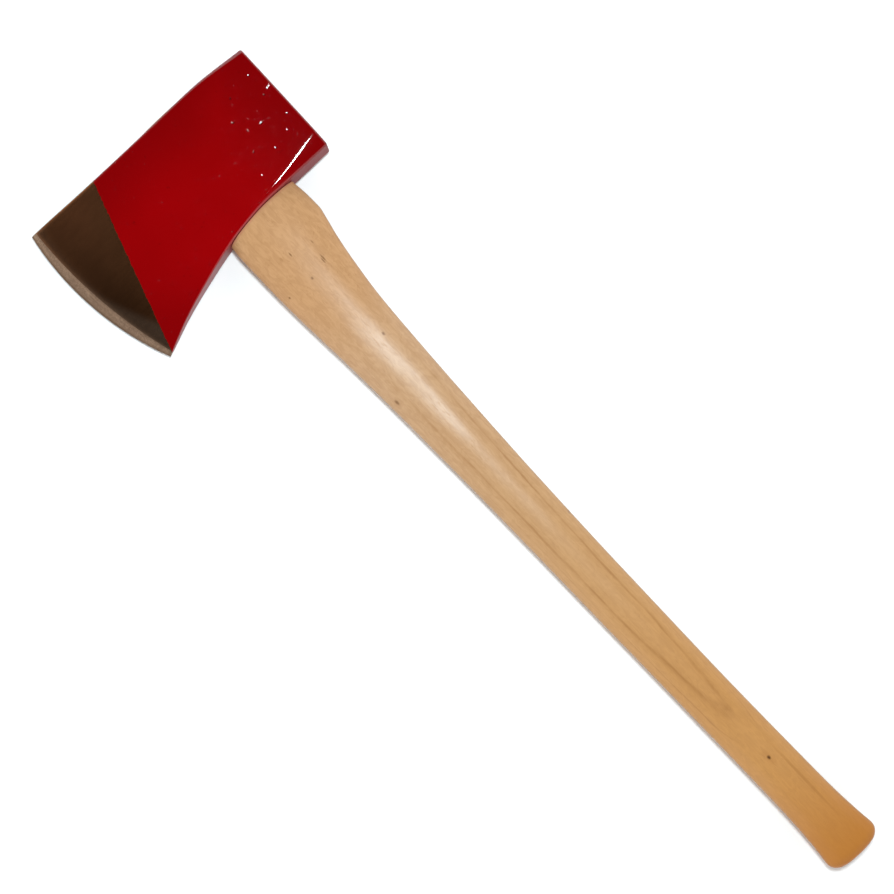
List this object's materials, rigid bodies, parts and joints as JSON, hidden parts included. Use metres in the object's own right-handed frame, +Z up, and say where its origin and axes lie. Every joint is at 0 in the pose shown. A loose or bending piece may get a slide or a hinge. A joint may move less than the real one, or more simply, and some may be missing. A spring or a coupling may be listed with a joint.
{
  "type": "flat-head fire axe",
  "caption": "Fire axe with a broad curved blade, a flat hammer poll, red paint over bare ground steel, and a straight oval hickory haft that swells at the butt.",
  "frame": {"origin": "centre of the bounding box's bottom face, on the floor that the axe lies on", "axes": "+X along the haft from the head to the butt, +Y from the cutting edge towards the poll, +Z up through the thickness"},
  "size_m": [0.7164, 0.2014, 0.0402],
  "materials": {
    "red_paint": "gloss red paint on forged steel, bare and ground at the bit",
    "hickory": "sanded and clear varnished, satin",
    "wedge_wood": "bare sawn hardwood",
    "wedge_steel": "plain steel, hammered at the top"
  },
  "bodies": {
    "root": {"axe_head": "red_paint", "haft": "hickory", "wood_wedge": "wedge_wood", "steel_wedge_fore": "wedge_steel", "steel_wedge_aft": "wedge_steel"}
  },
  "joints": []
}
